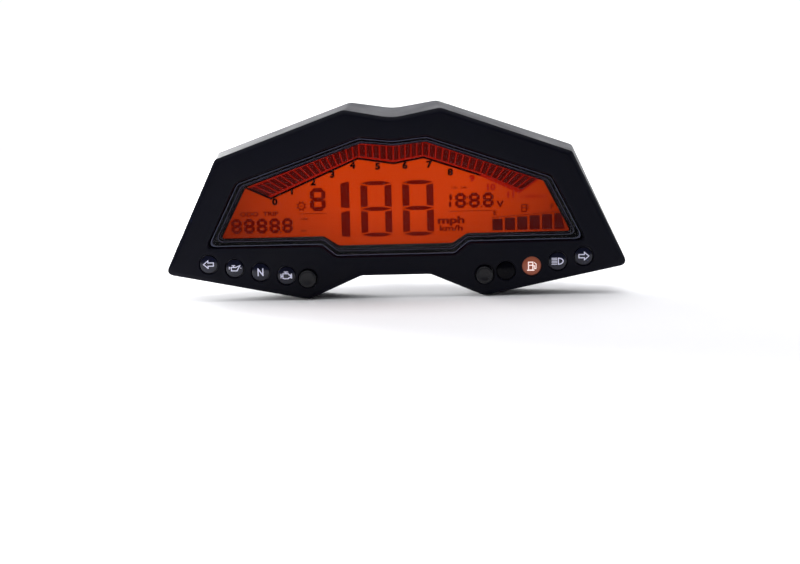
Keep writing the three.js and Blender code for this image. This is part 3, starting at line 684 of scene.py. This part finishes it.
# Pictogram shapes and strokes, in millimetres about the lens centre.
def solidShape(bm, centre, points):
    bmesh.ops.contextual_create(
        bm, geom=[bm.verts.new(((centre[0] + x) * mm, 0, (centre[1] + z) * mm)) for x, z in points])


def strokes(bm, centre, points, width=0.5, closed=False):
    for quad in lineQuads(points, width, closed):
        solidShape(bm, centre, quad)


def makePictogram(name, centre, draw, finish):
    bm = bmesh.new()
    draw(bm, centre)
    longEdges = [e for e in bm.edges if e.calc_length() > lamp["longEdge"] * mm]
    bmesh.ops.subdivide_edges(bm, edges=longEdges, cuts=3, use_grid_fill=True)
    for vert in bm.verts:
        vert.co.y = (domeDepth(vert.co.x / mm, vert.co.z / mm, centre) - lamp["printLift"]) * mm
    makePiece(name, bm, finish, flat=True)


def arrow(direction):
    def draw(bm, centre):
        shape = [(-2.4, 0), (-0.3, 1.75), (-0.3, 0.75), (2.2, 0.75), (2.2, -0.75), (-0.3, -0.75), (-0.3, -1.75)]
        strokes(bm, centre, [(x * direction, z) for x, z in shape], 0.42, True)
    return draw


def oilCan(bm, centre):
    strokes(bm, centre, [(-1.5, -1.1), (-1.5, 0.5), (0.5, 0.5), (2.5, 1.3), (1.1, -1.1)], 0.42, True)
    strokes(bm, centre, [(-1.5, 0.1), (-2.5, 0.6), (-2.5, -0.2)], 0.38)
    strokes(bm, centre, [(-0.5, 0.5), (-0.5, 1.3)], 0.42)
    strokes(bm, centre, [(-1.1, 1.3), (0.1, 1.3)], 0.42)
    solidShape(bm, centre, [(2.9, 0.5), (3.1, 0.05), (2.9, -0.2), (2.65, 0.05)])


def neutral(bm, centre):
    strokes(bm, centre, [(-1.1, -1.5), (-1.1, 1.5), (1.1, -1.5), (1.1, 1.5)], 0.55)


def engine(bm, centre):
    body = [
        (-1.6, -1.2), (-1.6, 0.9), (-0.6, 0.9), (-0.2, 0.9), (0.9, 0.9), (1.3, 0.3), (1.9, 0.3), (1.9, -1.0),
        (1.2, -1.0), (0.8, -1.4), (-0.8, -1.4)]
    strokes(bm, centre, body, 0.45, True)
    strokes(bm, centre, [(-0.2, 0.9), (-0.2, 1.6)], 0.45)
    strokes(bm, centre, [(-0.9, 1.7), (0.6, 1.7)], 0.45)
    strokes(bm, centre, [(-1.6, -0.2), (-2.4, -0.2)], 0.4)
    strokes(bm, centre, [(-2.5, 0.6), (-2.5, -1.0)], 0.45)
    strokes(bm, centre, [(2.4, 0.7), (2.4, -1.2)], 0.45)


def highBeam(bm, centre):
    curve = [(0.3 + 2.2 * math.sin(a), -1.4 * math.cos(a)) for a in [math.pi * k / 10 for k in range(11)]]
    strokes(bm, centre, curve, 0.45, True)
    for k in range(5):
        z = -1.4 + 0.7 * k
        strokes(bm, centre, [(-2.6, z), (-0.4, z)], 0.34)


def fuelPump(bm, centre):
    strokes(bm, centre, [(-1.5, -1.8), (-1.5, 1.8), (0.5, 1.8), (0.5, -1.8)], 0.5, True)
    strokes(bm, centre, [(-1.3, 0.4), (0.3, 0.4)], 0.45)
    strokes(bm, centre, [(-2.0, -1.9), (1.0, -1.9)], 0.5)
    strokes(bm, centre, [(0.6, 0.1), (1.3, 0.1), (1.3, -1.2), (1.9, -1.2), (2.0, 0.9), (1.2, 1.6)], 0.38)


# Name, CAD node, index in lampSpots, side and pictogram
lampPlan = [
    ("lensRightTurn", "lens_right_turn", 0, 1, arrow(-1)),
    ("lensHighBeam", "lens_high_beam", 1, 1, highBeam),
    ("lensFuel", "lens_fuel", 2, 1, fuelPump),
    ("lensSpare", "lens_spare", 3, 1, None),
    ("lensLeftTurn", "lens_left_turn", 0, -1, arrow(1)),
    ("lensOil", "lens_oil", 1, -1, oilCan),
    ("lensNeutral", "lens_neutral", 2, -1, neutral),
    ("lensEngine", "lens_engine", 3, -1, engine),
]
for name, node, index, sideSign, draw in lampPlan:
    centre = (lampSpots[index][0] * sideSign, lampSpots[index][1])
    lit = name == "lensFuel"
    finish = amberLens if lit else (smokedLens if draw else unlitLens)
    makeLens(name, node, centre, finish)
    if draw:
        # Pictograms on the unlit lenses get the faint painted glow, the lit one its lamp's light
        makePictogram(name.replace("lens", "icon"), centre, draw, litPrint if lit else iconPrintPaintedGlow)
print("telltales built")

# Push buttons: caps with a rounded edge on a stem, and a slight dish of (radius, depth below the top)
button = {
    "radius": 4.0,
    "proud": 2.6,
    "edge": 0.9,
    "dish": [(0, 0.25), (1.4, 0.2), (2.4, 0.0625)],
    "flange": 0.6,
    "flangeThickness": 1.0,
    "stem": 1.5,
    "stemEnd": -37.3,
}
for sideName, sideSign in (("left", -1), ("right", 1)):
    x, z = buttonSpot[0] * sideSign, buttonSpot[1]
    top = faceAt(z) - button["proud"]
    reach = button["radius"]
    flange = reach + button["flange"]
    front = bezel["flangeFront"]
    back = front + button["flangeThickness"]
    profile = [(radius, top + depth) for radius, depth in button["dish"]]
    for k in range(7):
        turn = math.pi / 2 * k / 6
        profile.append((reach - button["edge"] * (1 - math.sin(turn)), top + button["edge"] * (1 - math.cos(turn))))
    profile += [(reach, front), (flange, front), (flange, back)]
    profile += [(button["stem"], back), (button["stem"], button["stemEnd"]), (0, button["stemEnd"])]
    bm = bmesh.new()
    turned(bm, x, z, profile, 56)
    makePiece(
        "buttonCap" + sideName.title(), bm, buttonPlastic, sideName + "_button", ["button_" + sideName],
        sharp=40)

# Rubber cones behind the buttons
boot = {
    "profile": [
        (1.8, -44.9), (2.45, -44.9), (2.6, -44.75), (2.7, -44.0), (3.5, -41.9), (3.6, -41.4), (3.6, -40.6),
        (2.6, -40.6), (1.8, -44.1), (1.8, -44.9)],
    "foot": -40.6,
    "keep": 0.76,
}
for sideName, sideSign in (("left", -1), ("right", 1)):
    x, z = buttonSpot[0] * sideSign, buttonSpot[1]
    bm = bmesh.new()
    turned(bm, x, z, boot["profile"], 48)
    cone = makePiece(
        "buttonBoot" + sideName.title(), bm, softRubber, stands=["button_boot_" + sideName], sharp=40)
    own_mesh(cone)
print("buttons built")

# Rear housing: flange, tapered box with a soft edge, ribs, mounting bosses. Ring lists hold (inset or radius, depth).
rear = {
    "shellRings": [
        (16.2, -2.2), (14.2, -23.0), (0, -23.0), (0, -21.1), (0.5, -20.6), (11.3, -20.6), (12.1, -19.8),
        (13.9, -1.0), (14.4, -0.3), (15.0, 0)],
    "bossRings": [(9.25, 0), (9, 0.3), (9, 2.5), (8.5, 3), (3.3, 3), (3.3, -2.2)],
    "studs": [(-58, -4), (58, -4), (0, 19)],
    "wall": 2.2,
    "socket": (0, -9, 15.3, 6.8, 2.3),
    "vent": (36, 12, 2.2),
    "ribs": [((-46, 2), (-10, 20)), ((46, 2), (10, 20)), ((-46, -6), (-19, -9)), ((46, -6), (19, -9))],
    "ribHeight": 0.9,
    "ribRoot": 0.4,
    "ribWidth": 1.3,
    "ribEdge": 0.25,
}
bm = bmesh.new()
rings = ringsRound(bm, backOutline, rear["shellRings"])
skin(bm, rings)
x, z, halfWidth, halfHeight, radius = rear["socket"]
mouth = [(x + halfWidth, z - halfHeight, radius), (x + halfWidth, z + halfHeight, radius),
         (x - halfWidth, z + halfHeight, radius), (x - halfWidth, z - halfHeight, radius)]
fronts = [ring(bm, rounded(mouth, 5), 0), ring(bm, circle(*rear["vent"]), 0)]
backs = [ring(bm, rounded(mouth, 5), -rear["wall"]), ring(bm, circle(*rear["vent"]), -rear["wall"])]
for near, far in zip(fronts, backs):
    skin(bm, [near, far])
for x, z in rear["studs"]:
    boss = [ring(bm, circle(x, z, radius), depth) for radius, depth in rear["bossRings"]]
    skin(bm, boss)
    fronts.append(boss[0])
    backs.append(boss[-1])
fill(bm, rings[-1], *fronts)
fill(bm, rings[0], *backs)
makePiece("rearHousing", bm, shellPlastic, stands=["rear_housing"], sharp=40)

bm = bmesh.new()
for start, end in rear["ribs"]:
    a, b = Vector(start), Vector(end)
    turn = Matrix.Rotation(-math.atan2(b.y - a.y, b.x - a.x), 4, "Y")
    size = Matrix.Diagonal(
        ((b - a).length * mm, (rear["ribHeight"] + rear["ribRoot"]) * mm, rear["ribWidth"] * mm, 1))
    middle = (a + b) / 2
    place = Matrix.Translation(
        (middle.x * mm, (rear["ribHeight"] - rear["ribRoot"]) / 2 * mm, middle.y * mm))
    bmesh.ops.create_cube(bm, size=1, matrix=place @ turn @ size)
bmesh.ops.bevel(
    bm, geom=bm.edges[:], offset=rear["ribEdge"] * mm, offset_type="OFFSET", affect="EDGES", segments=2,
    profile=0.5, material=-1)
makePiece("rearRibs", bm, shellPlastic)
print("rear housing built")

# Threaded studs: a turned core with a helical ridge of the thread's real pitch
stud = {
    "core": [(0, -3.7), (4.4, -3.7), (4.6, -3.5), (4.6, -2.5), (2.45, -2.5), (2.45, 21.6), (1.85, 22.3), (0, 22.3)],
    "ridge": [(2.35, -2.3), (3.0, -1.88), (3.0, -1.72), (2.35, -1.3)],
    "pitch": 1.0,
    "turns": 23,
    "stepsPerTurn": 28,
}
for name, (x, z) in zip(("left", "right", "top"), rear["studs"]):
    bm = bmesh.new()
    turned(bm, x, z, stud["core"], 40)
    verts = [bm.verts.new(((x + r) * mm, y * mm, z * mm)) for r, y in stud["ridge"]]
    edges = [bm.edges.new(pair) for pair in zip(verts, verts[1:])]
    steps = stud["stepsPerTurn"]
    bmesh.ops.spin(
        bm, geom=verts + edges, cent=(x * mm, 0, z * mm), axis=(0, 1, 0), dvec=(0, stud["pitch"] / steps * mm, 0),
        angle=math.tau * stud["turns"], steps=steps * stud["turns"], use_merge=False, use_duplicate=False,
    )
    makePiece("mountStud" + name.title(), bm, zincSteel, stands=["mount_stud_" + name], sharp=30)

damper = {"inner": 3.3, "outer": 8.0, "front": 3.3, "back": 8.3, "edge": 0.5, "waist": 0.9, "waistHalf": 1.1}
for name, (x, z) in zip(("left", "right", "top"), rear["studs"]):
    inner, outer, front, back, edge = [damper[key] for key in ("inner", "outer", "front", "back", "edge")]
    middle = (front + back) / 2
    profile = [(inner, front), (outer - edge, front), (outer, front + edge)]
    for k in range(9):
        turn = math.pi * k / 8
        profile.append((outer - damper["waist"] * math.sin(turn), middle - damper["waistHalf"] * math.cos(turn)))
    profile += [(outer, back - edge), (outer - edge, back), (inner, back), (inner, front)]
    bm = bmesh.new()
    turned(bm, x, z, profile, 48)
    makePiece("mountDamper" + name.title(), bm, softRubber, stands=["mount_damper_" + name], sharp=40)

# Breather cap over the vent, with a shallow dish in its top
breather = {
    "profile": [
        (0, -1.5), (1.9, -1.5), (1.9, 0.3), (4.8, 0.3), (5, 0.5), (5, 1.7), (4.75, 2.25), (4.2, 2.5), (2.2, 2.5),
        (2.0, 2.2), (0, 2.15)],
}
bm = bmesh.new()
turned(bm, *rear["vent"][:2], breather["profile"], 48)
makePiece("breatherCap", bm, softRubber, stands=["breather_cap"], sharp=40)
print("mounting parts built")

# CAD nodes that are shown as they are: they get their finishes, and the edges of those named in easedEdge are eased
slotFinish = {
    "shell": shellPlastic,
    "button": buttonPlastic,
    "window": windowPlastic,
    "mask": maskPlastic,
    "display": orangeGlow,
    "white_plastic": whitePlastic,
    "light_guide": guidePlastic,
    "board": greenBoard,
    "chip": chipPlastic,
    "capacitor_can": canMetal,
    "rubber": softRubber,
    "steel": zincSteel,
    "pins": pinMetal,
    "lamp_lens": smokedLens,
    "lamp_lens_lit": amberLens,
}
easedEdge = {"shell_screw": 0.18, "connector_body": 0.3, "connector_pins": 0.12, "housing_seal": 0.15}
easing = {"mergeDistance": 1e-5, "segments": 2, "angle": math.radians(40)}
for subpart in frame["record"]["subparts"]:
    node = frame["nodes"][subpart["node"]]
    node.data.materials.clear()
    node.data.materials.append(slotFinish[subpart["material_slot"]])
    for start, width in easedEdge.items():
        if subpart["node"].startswith(start):
            weld = node.modifiers.new("mergeTriangles", "WELD")
            weld.merge_threshold = easing["mergeDistance"]
            bevel = node.modifiers.new("easedEdges", "BEVEL")
            bevel.width = width * mm
            bevel.segments = easing["segments"]
            bevel.limit_method = "ANGLE"
            bevel.angle_limit = easing["angle"]
            bevel.use_clamp_overlap = True
print("CAD nodes finished")

# Floor and backdrop in one curved sheet
studio = {"floor": cadBox[0].z, "half": 3.0, "front": -3.2, "bend": 1.1, "top": 2.6, "radius": 0.7}
bm = bmesh.new()
path = [(studio["front"], 0), (studio["bend"], 0)]
for k in range(1, 13):
    turn = math.pi / 2 * k / 12
    path.append((studio["bend"] + studio["radius"] * math.sin(turn), studio["radius"] * (1 - math.cos(turn))))
path.append((studio["bend"] + studio["radius"], studio["top"]))
verts = [bm.verts.new((-studio["half"], y, studio["floor"] + z)) for y, z in path]
edges = [bm.edges.new(pair) for pair in zip(verts, verts[1:])]
extruded = bmesh.ops.extrude_edge_only(bm, edges=edges)["geom"]
farVerts = [g for g in extruded if isinstance(g, bmesh.types.BMVert)]
bmesh.ops.translate(bm, verts=farVerts, vec=(studio["half"] * 2, 0, 0))
bmesh.ops.recalc_face_normals(bm, faces=bm.faces)
mesh = bpy.data.meshes.new("studioSheet")
bm.to_mesh(mesh)
bm.free()
mesh.shade_smooth()
mesh.materials.append(plainFinish("palePaper", (0.86, 0.86, 0.88), 0.9))
sheet = bpy.data.objects.new("studioSheet", mesh)
bpy.context.scene.collection.objects.link(sheet)

# Soft light: bright from above and behind, weak from the rider's side
lights = {
    "topBack": ((-0.8, 1.0, 0.2), (-0.04, 0, 0.03), 0.7, 60),
    "rightRim": ((0.95, 0.05, 0.3), (0.08, 0, 0), 0.6, 3.2),
    "leftRim": ((-0.9, 0.1, 0.5), (-0.08, 0, 0), 0.6, 4),
    "frontFill": ((-0.15, -0.72, 0.92), (0, 0, 0), 1.2, 2),
    "backdrop": ((0, 0.7, 2.2), (0, 1.9, 0.3), 3.0, 62),
}
for name, (place, aim, size, power) in lights.items():
    light = bpy.data.lights.new(name, "AREA")
    light.size = size
    light.energy = power
    holder = bpy.data.objects.new(name, light)
    holder.location = place
    holder.rotation_euler = (Vector(aim) - Vector(place)).to_track_quat("-Z", "Y").to_euler()
    bpy.context.scene.collection.objects.link(holder)
world = bpy.data.worlds.new("studioWorld")
world.use_nodes = True
world.node_tree.nodes["Background"].inputs["Color"].default_value = (0.78, 0.84, 1.0, 1)
world.node_tree.nodes["Background"].inputs["Strength"].default_value = 0.05
bpy.context.scene.world = world
bpy.context.scene.view_settings.view_transform = "Standard"
print("studio ready")

# Camera at the rider's eye
view = {
    "distance": 694.6,
    "elevation": 4.68,
    "heading": 1.6,
    "aimDown": 2.91,
    "aimAside": 0.15,
    "roll": 1.47,
    "lens": 68.36,
    "sensor": 36,
}
up = math.radians(view["elevation"])
turn = math.radians(view["heading"])
eye = Vector((math.sin(turn) * math.cos(up), -math.cos(turn) * math.cos(up), math.sin(up))) * view["distance"]
eye.y += bezel["faceDepth"]
pitch = up + math.radians(view["aimDown"])
heading = turn - math.radians(view["aimAside"])
gaze = Vector((-math.sin(heading) * math.cos(pitch), math.cos(heading) * math.cos(pitch), -math.sin(pitch)))
camera = bpy.data.cameras.new("riderCamera")
camera.lens = view["lens"]
camera.sensor_width = view["sensor"]
cameraHolder = bpy.data.objects.new("riderCamera", camera)
cameraHolder.location = eye * mm
cameraHolder.rotation_mode = "QUATERNION"
cameraHolder.rotation_quaternion = gaze.to_track_quat("-Z", "Y") @ Quaternion((0, 0, 1), -math.radians(view["roll"]))
bpy.context.scene.collection.objects.link(cameraHolder)
bpy.context.scene.camera = cameraHolder
print("camera placed")
